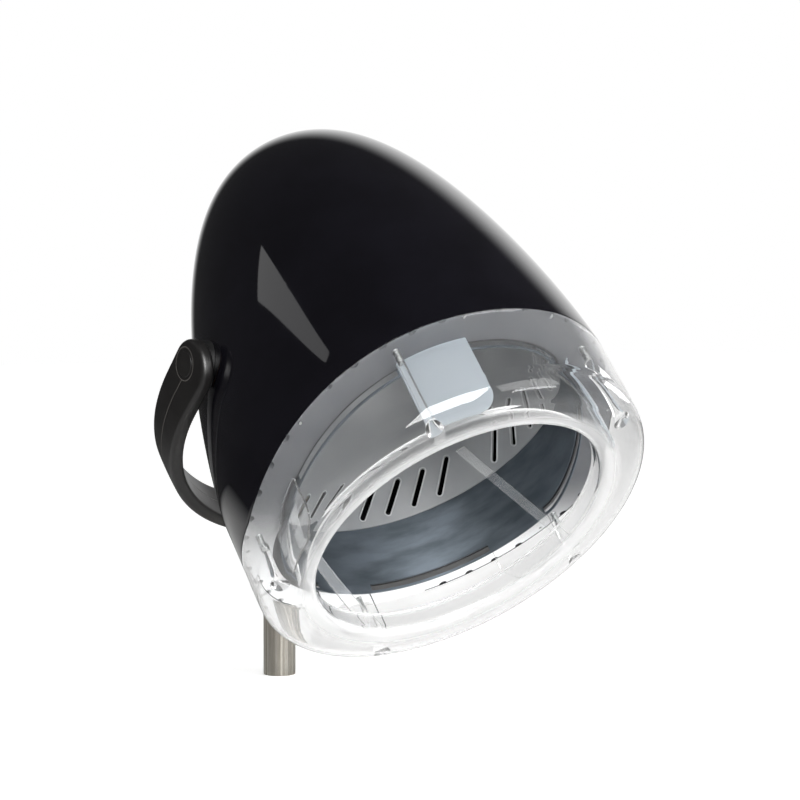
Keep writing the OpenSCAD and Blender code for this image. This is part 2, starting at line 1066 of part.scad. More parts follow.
// Body of a rotary control behind the panel, bored for its shaft
module rotary_body(x, r) {
    on_hood()
        on_panel(x, knob_z)
            translate([0, 0, -panel_t - seat - 19])
                difference() {
                    cylinder(r = r, h = 19);
                    translate([0, 0, 8])
                        cylinder(r = shaft_r + run, h = 12, $fn = 48);
                }
}

module rotary_shaft(x) {
    color("#c4c4c0")
        on_hood()
            on_panel(x, knob_z)
                translate([0, 0, -panel_t - 10])
                    cylinder(r = shaft_r, h = panel_t + 20, $fn = 48);
}

module rotary_knob(x) {
    color("#101012")
        on_hood()
            on_panel(x, knob_z)
                translate([0, 0, 0.5])
                    difference() {
                        union() {
                            cylinder(r = knob_r, h = 3);
                            cylinder(r = knob_r - 3, h = 14);
                        }
                        translate([0, 0, -1])
                            cylinder(r = shaft_r + 0.02, h = 10.8, $fn = 48);
                        translate([-1, 4, 13])
                            cube([2, 12, 2]);
                    }
}

module timer_body() {
    color("#d9d6cc")
        rotary_body(-knob_x, 14.5);
}

module timer_shaft() {
    rotary_shaft(-knob_x);
}

module timer_knob() {
    rotary_knob(-knob_x);
}

module heat_switch() {
    color("#3a3a3a")
        rotary_body(knob_x, 13);
}

module heat_shaft() {
    rotary_shaft(knob_x);
}

module heat_knob() {
    rotary_knob(knob_x);
}

module pilot_lens() {
    color("#c0392b")
        on_hood()
            on_panel(0, knob_z - 28) {
                translate([0, 0, -panel_t - 6])
                    cylinder(r = 5, h = panel_t + 6 + 1.5, $fn = 32);
            }
}

module cable_gland() {
    color("#1a1a1a")
        on_hood()
            on_panel(-gland_x, knob_z - 58)
                difference() {
                    union() {
                        translate([0, 0, -panel_t - 4])
                            cylinder(r = 7, h = panel_t + 5);
                        translate([0, 0, 0.3])
                            cylinder(r = 9, h = 9);
                    }
                    translate([0, 0, -20])
                        cylinder(r = 4, h = 60, $fn = 32);
                }
}

column_tube();
stop_collar();
collar_screw();
thrust_washer();
yoke_bow();
swivel_bush();
hub_cap();
pivot_bushes();
pivot_cap_left();
pivot_cap_right();
outer_shell();
intake_grille();
visor();
visor_posts();
post_screws();
bowl_flange();
flange_screws();
bowl_skirt();
visor_tongues();
diffuser_panel();
pivot_spacer_left();
pivot_spacer_right();
pivot_pad_left();
pivot_pad_right();
pivot_bolts();
pivot_nuts();
friction_washers();
fan_deck();
fan_shroud();
motor_bracket();
motor_bearing();
motor();
motor_shaft();
impeller();
heater_frame();
heater_element();
thermostat();
control_panel();
timer_body();
timer_shaft();
timer_knob();
heat_switch();
heat_shaft();
heat_knob();
pilot_lens();
cable_gland();
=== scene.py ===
import bmesh
import bpy
import numpy as np
from mathutils import Matrix


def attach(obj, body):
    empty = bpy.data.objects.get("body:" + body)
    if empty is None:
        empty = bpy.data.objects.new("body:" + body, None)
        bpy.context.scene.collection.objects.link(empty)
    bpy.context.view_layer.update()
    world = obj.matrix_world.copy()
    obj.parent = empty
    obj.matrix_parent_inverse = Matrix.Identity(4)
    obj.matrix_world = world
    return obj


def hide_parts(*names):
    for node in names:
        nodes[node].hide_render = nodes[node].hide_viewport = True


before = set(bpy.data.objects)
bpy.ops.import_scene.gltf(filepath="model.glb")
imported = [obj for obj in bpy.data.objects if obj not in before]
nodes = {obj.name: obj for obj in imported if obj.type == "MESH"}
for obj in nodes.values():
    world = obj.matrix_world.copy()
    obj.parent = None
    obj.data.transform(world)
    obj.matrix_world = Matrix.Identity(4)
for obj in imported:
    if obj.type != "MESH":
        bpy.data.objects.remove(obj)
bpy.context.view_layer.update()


# ---------- Column tube ----------
# The carrying tube is cold-drawn steel, 34 mm across with a 2 mm wall, satin nickel plated
# and brushed along its length. Its lower 90 mm go into the socket of a stand.

def linear(hex_colour):
    """sRGB hex to linear: c / 12.92 below 0.04045, else ((c + 0.055) / 1.055) to the 2.4."""
    c = np.array([int(hex_colour[i:i + 2], 16) / 255 for i in (1, 3, 5)])
    return (*np.where(c < 0.04045, c / 12.92, ((c + 0.055) / 1.055) ** 2.4), 1.0)


def start_material(name, colour, **sockets):
    """A new material: one Principled BSDF with its colour and plain values, underscores for spaces."""
    mat = bpy.data.materials.new(name)
    mat.use_nodes = True
    shader = mat.node_tree.nodes["Principled BSDF"]
    shader.inputs["Base Color"].default_value = linear(colour)
    for socket, value in sockets.items():
        shader.inputs[socket.replace("_", " ")].default_value = value
    return mat, shader


def add(mat, kind, inputs=None, to=None, out=0, **settings):
    """Adds one node: settings are its properties, inputs its values or links, to what it feeds."""
    tree = mat.node_tree
    node = tree.nodes.new("ShaderNode" + kind)
    for name, value in settings.items():
        setattr(node, name, value)
    for key, value in (inputs or {}).items():
        if isinstance(value, bpy.types.NodeSocket):
            tree.links.new(value, node.inputs[key])
        else:
            node.inputs[key].default_value = value
    if to is not None:
        tree.links.new(node.outputs[out], to)
    return node


def wear_in(mat, shader, dark, light, patch_mm, rough, grain_mm, relief, turn=0.0, stretch=(1, 1, 1),
            cloud=(1, 1, 1)):
    """Patches between two colours and two roughnesses of size patch_mm, and a fine relief.

    The patches are drawn out by cloud and the relief, a noise of grain_mm, by stretch, after the
    object's coordinates are turned about X, so that brushing runs along the piece."""
    place = add(mat, "TexCoord").outputs["Object"]
    turned_to = add(mat, "Mapping", {"Vector": place, "Rotation": (turn, 0, 0)}).outputs[0]
    clouds = add(mat, "Mapping", {"Vector": turned_to, "Scale": [s * 1000 / patch_mm for s in cloud]})
    patches = add(mat, "TexNoise", {"Vector": clouds.outputs[0], "Scale": 1.0, "Detail": 4.0,
                                    "Roughness": 0.55}).outputs[0]
    spread = add(mat, "MapRange", {"Value": patches, "From Min": 0.35, "From Max": 0.65}).outputs[0]
    add(mat, "Mix", {0: spread, 6: linear(dark), 7: linear(light)}, out=2,
        to=shader.inputs["Base Color"], data_type="RGBA")
    add(mat, "MapRange", {"Value": patches, "From Min": 0.3, "From Max": 0.7, "To Min": rough[0],
                          "To Max": rough[1]}, to=shader.inputs["Roughness"])
    drawn = add(mat, "Mapping", {"Vector": turned_to, "Scale": [s * 1000 / grain_mm for s in stretch]})
    grain = add(mat, "TexNoise", {"Vector": drawn.outputs[0], "Scale": 1.0, "Detail": 2.0}).outputs[0]
    add(mat, "Bump", {"Height": grain, "Strength": 0.5, "Distance": relief / 1000},
        to=shader.inputs["Normal"])


def dress(mat, *names):
    """Puts one material on CAD nodes, in place of what they came with."""
    for name in names:
        mesh = nodes[name].data
        mesh.materials.clear()
        mesh.materials.append(mat)


# Satin nickel on drawn steel: warm grey, streaked along the tube, with broad soft highlights.
# Real brushing is 0.1 mm apart; it is drawn 1.5 to 3 mm apart so that it shows.
satin_nickel, shader = start_material("satin_nickel_on_drawn_steel", "#a9a59c", Metallic=1.0,
                                      Roughness=0.26)
wear_in(satin_nickel, shader, "#9c968c", "#dad6cc", 3, (0.2, 0.32), 1.5, 0.05,
        stretch=(1, 1, 0.01), cloud=(1, 1, 0.01))
dress(satin_nickel, "column_tube")


# ---------- Stop collar, its screw and the thrust washer ----------
# A turned collar of black glass-filled nylon is clamped on the tube by a zinc-plated screw and
# carries the yoke. A washer of white acetal lies between the two, so that the yoke swivels freely.

# Glass-filled nylon: near black, dry sheen, faint fibre mottling of about 1 mm.
black_nylon, shader = start_material("glass_filled_nylon_black", "#1c1c1d", Roughness=0.5, IOR=1.53)
wear_in(black_nylon, shader, "#19191a", "#232324", 9, (0.44, 0.56), 1, 0.04)
dress(black_nylon, "stop_collar", "pivot_spacer_left", "pivot_spacer_right", "thermostat",
      "heat_switch", "cable_gland")

# Bright zinc on steel: bluish grey metal with a faint cloudiness.
bright_zinc, shader = start_material("bright_zinc_plated_steel", "#b4b6b6", Metallic=1.0,
                                     Roughness=0.28)
wear_in(bright_zinc, shader, "#a5a8a8", "#c0c2c1", 6, (0.22, 0.34), 1, 0.02)
dress(bright_zinc, "collar_screw", "pivot_bolts", "pivot_nuts", "post_screws", "flange_screws",
      "motor_shaft", "timer_shaft", "heat_shaft")

# Acetal: milky white with a waxy sheen.
acetal, shader = start_material("acetal_natural_white", "#d9d6cb", Roughness=0.38, IOR=1.48,
                                Subsurface_Weight=0.1)
wear_in(acetal, shader, "#d2cfc3", "#dedbd1", 12, (0.34, 0.42), 1, 0.02)
dress(acetal, "thrust_washer", "swivel_bush", "timer_body")


# ---------- Yoke ----------
# One bow of charcoal ABS, 14 mm thick and moulded in two halves, carries the hood: 57 mm wide at
# the tilt pivots and 44 mm at the hub. Its edges are rounded, its outer face is a little crowned,
# and the joint of the halves shows as a fine keyhole line from pivot to pivot.

def grid(rows, columns, around=False, along=False):
    """Quads between neighbours of a grid of points, closed around or along where asked."""
    i = np.arange(rows if along else rows - 1)[:, None]
    j = np.arange(columns if around else columns - 1)[None, :]
    right, down = (j + 1) % columns, (i + 1) % rows
    return np.stack([i * columns + j, i * columns + right, down * columns + right,
                     down * columns + j], -1).reshape(-1, 4)


def make_mesh(name, points, faces, sharp=40.0, up=None):
    """A mesh object of points in metres: doubles merged, faces turned outwards, smooth up to sharp.

    up is a direction that the highest face in that direction has to look in, for an open shell."""
    mesh = bpy.data.meshes.new(name)
    mesh.from_pydata(np.asarray(points).reshape(-1, 3).tolist(), [], np.asarray(faces).tolist())
    bm = bmesh.new()
    bm.from_mesh(mesh)
    bmesh.ops.remove_doubles(bm, verts=bm.verts, dist=2e-6)
    bmesh.ops.recalc_face_normals(bm, faces=bm.faces)
    if up is not None:
        top = max(bm.faces, key=lambda f: f.calc_center_median().dot(up))
        if top.normal.dot(up) < 0:
            bmesh.ops.reverse_faces(bm, faces=bm.faces)
    bm.to_mesh(mesh)
    bm.free()
    smooth_mesh(mesh, sharp)
    obj = bpy.data.objects.new(name, mesh)
    bpy.context.scene.collection.objects.link(obj)
    return obj


def smooth_mesh(mesh, sharp):
    """Smooth shading, with edges sharper than the angle left sharp."""
    mesh.polygons.foreach_set("use_smooth", np.ones(len(mesh.polygons), bool))
    mesh.set_sharp_from_angle(angle=np.radians(sharp))
    mesh.update()


def settle(obj, sharp=40.0):
    """Turns the live modifiers of an object into its mesh."""
    bpy.context.view_layer.update()
    done = bpy.data.meshes.new_from_object(obj.evaluated_get(bpy.context.evaluated_depsgraph_get()))
    obj.modifiers.clear()
    obj.data = done
    smooth_mesh(done, sharp)
    return obj


def join_or_cut(obj, tool, operation, sharp=40.0):
    """Boolean of two closed meshes; the tool is used up."""
    step = obj.modifiers.new("boolean", "BOOLEAN")
    step.operation, step.solver, step.object = operation, "EXACT", tool
    settle(obj, sharp)
    bpy.data.objects.remove(tool)
    return obj


def turned(profile, count=96):
    """A profile of (radius, height) carried round the Z axis: (r sin a, -r cos a, z), in mm."""
    r, z = np.asarray(profile, float).T
    a = np.linspace(0, 2 * np.pi, count, endpoint=False)
    points = np.stack([r[:, None] * np.sin(a), -r[:, None] * np.cos(a), z[:, None] + 0 * a], -1)
    return points, grid(len(r), count, around=True)


def arc(centre_r, centre_z, radius, start, end, steps):
    """Points of an arc in the (radius, height) plane, angles in degrees."""
    a = np.radians(np.linspace(start, end, steps))
    return np.stack([centre_r + radius * np.cos(a), centre_z + radius * np.sin(a)], -1)


arm_inside, strap_t, arm_straight = 190.0, 14.0, 31.4
half_w_pivot, half_w_back, edge_r, crown = 28.5, 22.0, 4.5, 0.7
strap_start = np.array([0, -161.503, 331.503])
tilt_axis = np.array([0, -156.5533, 336.4527])
middle_r = arm_inside + strap_t / 2
quarter = middle_r * np.pi / 2
turn45 = np.sqrt(0.5)


def from_strap(x, y, z):
    """Strap's own plan to the model's frame: 45 degrees down to the back, mm to metres."""
    return np.stack([x, strap_start[1] + turn45 * (y + z),
                     strap_start[2] + turn45 * (z - y)], -1) / 1000


def bend_strap(s, z, h):
    """A developed strap bent to its bow.

    s runs along the middle line from the back, z across, h outwards. On the half ring the plan
    point is (m + h) (sin, cos) of s / m, and past a quarter turn the arms run on straight."""
    a = np.clip(s, -quarter, quarter) / middle_r
    straight = np.maximum(np.abs(s) - quarter, 0)
    return from_strap((middle_r + h) * np.sin(a),
                      arm_straight + (middle_r + h) * np.cos(a) - straight, z)


s_end, plan_back = quarter + arm_straight, 242.4
stations = np.linspace(-s_end, s_end, 121)
plan_y = (arm_straight + middle_r * np.cos(np.clip(stations, -quarter, quarter) / middle_r)
          - np.maximum(np.abs(stations) - quarter, 0))
half_w = half_w_pivot + (half_w_back - half_w_pivot) * plan_y / plan_back
tip = np.radians(np.linspace(90, -90, 25))[1:-1]
edge_s = np.concatenate([stations, s_end + half_w_pivot * np.cos(tip), stations[::-1],
                         -s_end - half_w_pivot * np.cos(tip)])
edge_z = np.concatenate([half_w, half_w_pivot * np.sin(tip), -half_w[::-1],
                         -half_w_pivot * np.sin(tip)])
core_s = np.clip(edge_s, -s_end, s_end)
reach = np.hypot(edge_s - core_s, edge_z)
inset = np.array([0, .12, .45, 1, 1.75, 2.7, 3.8, 5.2, 8, 12, 17])
depth = np.concatenate([np.repeat(inset[:, None], len(reach), 1), reach[None]])
share = depth / reach
rounding = np.sqrt(np.maximum(edge_r ** 2 - (edge_r - np.minimum(depth, edge_r)) ** 2, 0))
outer_h = strap_t / 2 - edge_r + rounding - crown * (1 - share) ** 2
inner_h = -(strap_t / 2 - edge_r + rounding)
s_rows = edge_s + (core_s - edge_s) * share
z_rows = edge_z * (1 - share)
skin = bend_strap(np.concatenate([s_rows[::-1], s_rows]), np.concatenate([z_rows[::-1], z_rows]),
                  np.concatenate([outer_h[::-1], inner_h]))
yoke = make_mesh("yoke_strap", skin, grid(*skin.shape[:2], around=True), sharp=50)

# The hub is moulded on the bow's lowest point and bored for the swivel bush.
hub = np.concatenate([[[15, 117.0]], arc(23.5, 118.5, 1.5, -90, 0, 5), [[25, 122]], [[25, 182]],
                      arc(23.5, 185.5, 1.5, 0, 90, 5), [[15, 187]]])
points, faces = turned(np.concatenate([hub, hub[:1]]), 96)
join_or_cut(yoke, make_mesh("hub", points / 1000, faces), "UNION")


def rod(radius, low, high, place, count=64):
    """A plain closed cylinder, as a cutter."""
    points, faces = turned([[0, low], [radius, low], [radius, high], [0, high]], count)
    return make_mesh("cutter", place(points), faces)


bush_seat_r, hub_clear_r, hub_top = 20.5, 26, 187
join_or_cut(yoke, rod(bush_seat_r, 100, 400, lambda p: p / 1000), "DIFFERENCE")
join_or_cut(yoke, rod(hub_clear_r, hub_top, 230, lambda p: p / 1000), "DIFFERENCE")


def at_tilt_pivot(side):
    """Points about +Z laid along the tilt axis, outwards to one side, mm to metres."""
    return lambda p: (np.stack([side * p[..., 2], p[..., 1], -side * p[..., 0]], -1)
                      + tilt_axis) / 1000


pivot_bore_r, cap_pocket_r, cap_pocket_from = 8.5, 13, 198
for side in (-1, 1):
    join_or_cut(yoke, rod(pivot_bore_r, 180, 215, at_tilt_pivot(side)), "DIFFERENCE")
    join_or_cut(yoke, rod(cap_pocket_r, cap_pocket_from, 215, at_tilt_pivot(side)), "DIFFERENCE",
                sharp=42)

# Satin ABS, charcoal: spark-eroded mould finish of about 1 mm grain, warm near black.
charcoal = "#262424"
satin_abs, shader = start_material("satin_abs_charcoal", charcoal, Roughness=0.42, IOR=1.54)
wear_in(satin_abs, shader, "#232121", "#2b2928", 40, (0.36, 0.45), 1.2, 0.03)
dress(satin_abs, "hub_cap")

# The same ABS with the keyhole line: 1 mm wide and 0.6 mm deep, a ring of 16 mm about each pivot
# and from there a line down the middle of the strap. The line is painted light grey, a painted
# highlight along it.
strap_abs, shader = start_material("satin_abs_charcoal_strap", charcoal, Roughness=0.42, IOR=1.54)
wear_in(strap_abs, shader, "#232121", "#2b2928", 40, (0.36, 0.45), 1.2, 0.03)
place = add(strap_abs, "TexCoord").outputs["Object"]
shift = -turn45 * np.array([0, tilt_axis[1] - tilt_axis[2], tilt_axis[1] + tilt_axis[2]]) / 1000
own = add(strap_abs, "Mapping", {"Vector": place, "Rotation": (np.pi / 4, 0, 0), "Location": shift})
flat = add(strap_abs, "VectorMath", {0: own.outputs[0], 1: (0, 1, 1)}, operation="MULTIPLY")
away = add(strap_abs, "VectorMath", {0: flat.outputs[0]}, operation="LENGTH").outputs["Value"]
ring_r, line_up, line_from = 0.016, 0.007, 0.0144
off_ring = add(strap_abs, "Math", {0: away, 1: ring_r}, operation="SUBTRACT")
off_ring = add(strap_abs, "Math", {0: off_ring.outputs[0]}, operation="ABSOLUTE").outputs[0]
axes = add(strap_abs, "SeparateXYZ", {0: own.outputs[0]})
off_line = add(strap_abs, "Math", {0: axes.outputs["Z"], 1: line_up}, operation="ADD")
off_line = add(strap_abs, "Math", {0: off_line.outputs[0]}, operation="ABSOLUTE").outputs[0]
before = add(strap_abs, "Math", {0: line_from, 1: axes.outputs["Y"]}, operation="SUBTRACT").outputs[0]
before = add(strap_abs, "Math", {0: before, 1: 0.0}, operation="MAXIMUM").outputs[0]
off_line = add(strap_abs, "Math", {0: off_line, 1: before}, operation="ADD").outputs[0]
off = add(strap_abs, "Math", {0: off_ring, 1: off_line}, operation="MINIMUM").outputs[0]
groove_and_highlight = add(strap_abs, "MapRange", {"Value": off, "From Min": 0.0002, "From Max": 0.0008},
             interpolation_type="SMOOTHSTEP").outputs[0]
bump = next(n for n in strap_abs.node_tree.nodes if n.type == "BUMP")
add(strap_abs, "Bump", {"Height": groove_and_highlight, "Strength": 1.0, "Distance": 0.0006,
                        "Normal": bump.outputs[0]}, to=shader.inputs["Normal"])
# Painted highlight: the middle of the keyhole line is coloured light grey.
tone = next(n for n in strap_abs.node_tree.nodes if n.type == "MIX")
add(strap_abs, "Mix", {0: groove_and_highlight, 6: linear("#6f6a66"), 7: tone.outputs[2]}, out=2,
    to=shader.inputs["Base Color"], data_type="RGBA")
yoke.data.materials.append(strap_abs)
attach(yoke, "yoke")
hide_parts("yoke_bow")


# ---------- Pivot bushes and caps ----------
# Sintered bronze bushes carry the tilt bolts in the arms. Each bolt head is hidden by a low domed
# cap of the yoke's ABS, pressed into its pocket.

# Sintered bronze: dull gold, porous at about half a millimetre.
bronze, shader = start_material("sintered_bronze", "#a8834c", Metallic=1.0, Roughness=0.42)
wear_in(bronze, shader, "#977442", "#b58f57", 8, (0.38, 0.5), 0.8, 0.03)
dress(bronze, "pivot_bushes", "motor_bearing")

for side, name in ((-1, "pivot_cap_left"), (1, "pivot_cap_right")):
    cap = np.concatenate([[[0, 202.6], [12.8, 202.6], [12.8, 203.7]], arc(12.2, 203.7, 0.6, 0, 80, 5),
                          [[10, 204.42], [6, 204.48], [0, 204.5]]])
    points, faces = turned(cap, 96)
    domed = make_mesh(name + "_domed", at_tilt_pivot(side)(points), faces, sharp=50)
    domed.data.materials.append(satin_abs)
    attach(domed, "yoke")
    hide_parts(name)


# ---------- Outer shell ----------
# The dome is blow-moulded black ABS with a mirror gloss, 400 mm across and 3 mm thick. Its lower
# edge rises from the back to the front in one soft S, and the back is cut flat for the controls.

hood_r, hood_h, dome_start, flat_y = 200.0, 479.0, 105.0, 182.0
pitch = np.radians(41.2)
pivot_back, pivot_up = 17.5, 228
around_steps = 288


def hood_place(p):
    """Hood's own upright frame to the model's frame.

    Points are taken from the tilt axis, 17.5 mm behind the hood's axis and 228 mm up, and leaned
    back by 41.2 degrees: y' = y cos + z sin, z' = z cos - y sin. mm to metres."""
    y, z = p[..., 1] - pivot_back, p[..., 2] - pivot_up
    return (np.stack([p[..., 0], y * np.cos(pitch) + z * np.sin(pitch),
                      z * np.cos(pitch) - y * np.sin(pitch)], -1) + tilt_axis) / 1000


def hood_axes(mat):
    """The hood's own coordinates in metres, for patterns: the object's, turned back by the pitch."""
    place = add(mat, "TexCoord").outputs["Object"]
    back_y = tilt_axis[1] * np.cos(pitch) - tilt_axis[2] * np.sin(pitch)
    back_z = tilt_axis[1] * np.sin(pitch) + tilt_axis[2] * np.cos(pitch)
    home = (0, (pivot_back - back_y) / 1000, (pivot_up - back_z) / 1000)
    return add(mat, "Mapping", {"Vector": place, "Rotation": (pitch, 0, 0),
                                "Location": home}).outputs[0]


def dome_radius(z, r=hood_r, top=hood_h):
    """r (1 - u^1.33)^(1/2.56), u running from 0 at the skirt to 1 at the apex."""
    u = np.clip((z - dome_start) / (top - dome_start), 0, 1)
    return r * (1 - u ** 1.33) ** (1 / 2.56)


seam_low, seam_rise, seam_from, seam_run = 54, 56, 36, 266


def seam_height(y):
    """Joint line in side view: 54 at the back, 110 at the front, ((1 - cos) / 2)^0.6 between."""
    t = np.clip((seam_from - y) / seam_run, 0, 1)
    return seam_low + seam_rise * ((1 - np.cos(np.pi * t)) / 2) ** 0.6


# Rows follow the joint line up to this height, and are level above it.
plain_z = 118.0
arch_z = dome_start + (hood_h - dome_start) * (1 - (flat_y / hood_r) ** 2.56) ** (1 / 1.33)
rising = dome_start + (hood_h - dome_start) * (1 - (1 - np.linspace(0, 1, 90)) ** 2)
rising = np.unique(np.concatenate([[plain_z], rising[rising > plain_z + 3], arch_z - np.array(
    [0, .02, .1, .3, .7, 1.3, 2.2, 3.4, 5])]))
levels = np.concatenate([np.linspace(seam_low, plain_z, 17)[:-1], rising])
gap = np.arccos(np.minimum(flat_y / np.maximum(dome_radius(levels), 1e-9), 1))
gap[dome_radius(levels) < flat_y] = 0
turn = gap[:, None] + (2 * np.pi - 2 * gap[:, None]) * np.linspace(0, 1, around_steps + 1)
low = levels[:, None] < plain_z
seam = seam_height(hood_r * np.cos(turn))
z = np.where(low, seam + (plain_z - seam) * (levels[:, None] - seam_low) / (plain_z - seam_low),
             levels[:, None])
r = dome_radius(z)
shell_points = np.stack([r * np.sin(turn), r * np.cos(turn), z], -1)
shell = make_mesh("hood_shell", hood_place(shell_points), grid(*turn.shape),
                  up=(0, np.sin(pitch), np.cos(pitch)))
wall = shell.modifiers.new("wall", "SOLIDIFY")
wall.thickness, wall.offset, wall.use_even_offset = 0.003, -1, True
settle(shell)
edge = shell.modifiers.new("edge", "BEVEL")
edge.width, edge.segments, edge.limit_method, edge.angle_limit = 0.0006, 3, "ANGLE", np.radians(60)
settle(shell)


def at_hood_pivot(side):
    """Points about +Z laid along the tilt axis in the hood's frame."""
    return lambda p: hood_place(np.stack([side * p[..., 2], p[..., 1] + pivot_back,
                                          -side * p[..., 0] + pivot_up], -1))


grille_up, grille_tip, grille_start = 300, np.radians(-35), 110


def at_grille(p):
    """Points about +Z laid along the grille's axis: from height 300, tipped 35 degrees, to the back."""
    y, z = p[..., 1], p[..., 2] + grille_start
    return hood_place(np.stack([p[..., 0], y * np.cos(grille_tip) - z * np.sin(grille_tip),
                                grille_up + y * np.sin(grille_tip) + z * np.cos(grille_tip)], -1))


grille_seat_r, bolt_hole_r = 36.3, 6.3
join_or_cut(shell, rod(grille_seat_r, 0, 200, at_grille, 96), "DIFFERENCE")
for side in (-1, 1):
    join_or_cut(shell, rod(bolt_hole_r, 150, 210, at_hood_pivot(side), 48), "DIFFERENCE")

# Gloss ABS, black: deep mirror finish with the faint waviness that moulding leaves, and a thin
# lacquer. The waves are 35 mm long and a few micrometres deep.
gloss_abs, shader = start_material("gloss_abs_black", "#141319", Roughness=0.04, IOR=1.5,
                                   Coat_Weight=0.3, Coat_Roughness=0.03)
wear_in(gloss_abs, shader, "#131218", "#18171e", 70, (0.03, 0.06), 35, 0.01)
shell.data.materials.append(gloss_abs)
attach(shell, "hood")
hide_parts("outer_shell")


# ---------- Intake grille ----------
# A slotted disc of black ABS is snapped into the back of the dome, where the fan draws its air.

# ABS, black, fine-grained moulding.
grained_abs, shader = start_material("grained_abs_black", "#1a1a1c", Roughness=0.45, IOR=1.54)
wear_in(grained_abs, shader, "#18181a", "#212123", 25, (0.4, 0.5), 1, 0.03)
dress(grained_abs, "intake_grille", "control_panel", "impeller")


# ---------- Visor ----------
# The clear ring around the mouth is injection-moulded acrylic, 3 mm thick: a wall flush with the
# shell, a rolled lower edge of 21 mm, a flat floor and a lip turned up around the opening.
# Its floor is tilted by 4.2 degrees, so that the rim is a little deeper at the back.

floor_tilt, hinge_z = np.radians(4.2), 20


def visor_tilt(p):
    """Turns by -4.2 degrees about X at height 20, fading out smoothly from height 21 to 50."""
    fade = np.clip((50 - p[..., 2]) / 29, 0, 1)
    a = -floor_tilt * fade * fade * (3 - 2 * fade)
    y, z = p[..., 1], p[..., 2] - hinge_z
    return np.stack([p[..., 0], y * np.cos(a) - z * np.sin(a),
                     hinge_z + y * np.sin(a) + z * np.cos(a)], -1)


a = np.radians(np.linspace(0, 360, around_steps, endpoint=False))
top = seam_height(-hood_r * np.cos(a)) - 0.3
share = np.linspace(0, 1, 16)[:, None]
wall_out = np.stack([np.full((16, around_steps), hood_r), (top - 0.8) + (21 - top + 0.8) * share], -1)
wall_in = np.stack([np.full((16, around_steps), hood_r - 3), 21 + (top - 0.8 - 21) * share], -1)
rim = np.stack([np.stack([np.full(around_steps, hood_r - d), top - e], -1) for d, e in (
    (2.77, .23), (2.2, 0), (1.5, 0), (.8, 0), (.23, .23))])
below = np.concatenate([arc(179, 21, 21, 0, -90, 15)[1:], [[173, 0], [166, 0], [160, 0]],
                        arc(155, 8, 8, -90, -180, 9), [[147, 14], [147, 19]],
                        arc(148.5, 22.5, 1.5, 180, 0, 9), [[150, 19], [150, 14]],
                        arc(155, 8, 5, -180, -90, 7), [[160, 3], [166, 3], [173, 3]],
                        arc(179, 21, 18, -90, 0, 13)[:-1]])
below = np.repeat(below[:, None], around_steps, 1)
ring = np.concatenate([rim, wall_out, below, wall_in])
ring = np.stack([ring[..., 0] * np.sin(a), -ring[..., 0] * np.cos(a), ring[..., 1]], -1)
visor = make_mesh("visor_ring", hood_place(visor_tilt(ring)),
                  grid(*ring.shape[:2], around=True, along=True), sharp=60)


def lit_through(mat, shader):
    """Lets the lamps shine through a clear material: it is plain transparent for shadow rays."""
    through = add(mat, "BsdfTransparent", {"Color": (0.94, 0.94, 0.94, 1)})
    path = add(mat, "LightPath")
    add(mat, "MixShader", {0: path.outputs["Is Shadow Ray"], 1: shader.outputs[0],
                           2: through.outputs[0]},
        to=mat.node_tree.nodes["Material Output"].inputs["Surface"])


# Acrylic, clear and polished: colourless, edges bright with caught light. Lamps shine through it.
acrylic, shader = start_material("acrylic_clear", "#ffffff", Roughness=0.015, IOR=1.49,
                                 Transmission_Weight=1.0)
lit_through(acrylic, shader)

# The ring's own acrylic is drawn partly white where it bends: in the bend under the opening's
# edge, growing below 9.5 mm, and on the rim of the lip, growing above 17.5 mm. This is painted
# light, a white glow that stands in for the bright light these bends show.
glow_acrylic, shader = start_material("acrylic_clear_painted_glow_bend", "#ffffff", Roughness=0.015, IOR=1.49,
                               Transmission_Weight=1.0)
own = hood_axes(glow_acrylic)
flat = add(glow_acrylic, "VectorMath", {0: own, 1: (1, 1, 0)}, operation="MULTIPLY")
out_by = add(glow_acrylic, "VectorMath", {0: flat.outputs[0]}, operation="LENGTH").outputs["Value"]
inside = add(glow_acrylic, "MapRange", {"Value": out_by, "From Min": 0.158, "From Max": 0.172, "To Min": 1.0,
                                 "To Max": 0.0}, interpolation_type="SMOOTHSTEP").outputs[0]
axes = add(glow_acrylic, "SeparateXYZ", {0: own})
level = add(glow_acrylic, "Math", {0: axes.outputs["Y"], 1: np.tan(floor_tilt), 2: axes.outputs["Z"]},
            operation="MULTIPLY_ADD").outputs[0]
clear_level, most_glow = 0.0135, 0.32
off_bend = add(glow_acrylic, "Math", {0: level, 1: clear_level}, operation="SUBTRACT")
off_bend = add(glow_acrylic, "Math", {0: off_bend.outputs[0]}, operation="ABSOLUTE").outputs[0]
bent = add(glow_acrylic, "MapRange", {"Value": off_bend, "From Min": 0.004, "From Max": 0.0105,
                               "To Min": 0.0, "To Max": most_glow},
           interpolation_type="SMOOTHSTEP").outputs[0]
# Painted light: where this share grows, the acrylic is drawn partly white instead of clear.
painted_glow = add(glow_acrylic, "Math", {0: bent, 1: inside}, operation="MULTIPLY").outputs[0]
add(glow_acrylic, "Math", {0: 1.0, 1: painted_glow}, operation="SUBTRACT", to=shader.inputs["Transmission Weight"])
lit_through(glow_acrylic, shader)
visor.data.materials.append(glow_acrylic)
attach(visor, "hood")
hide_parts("visor")

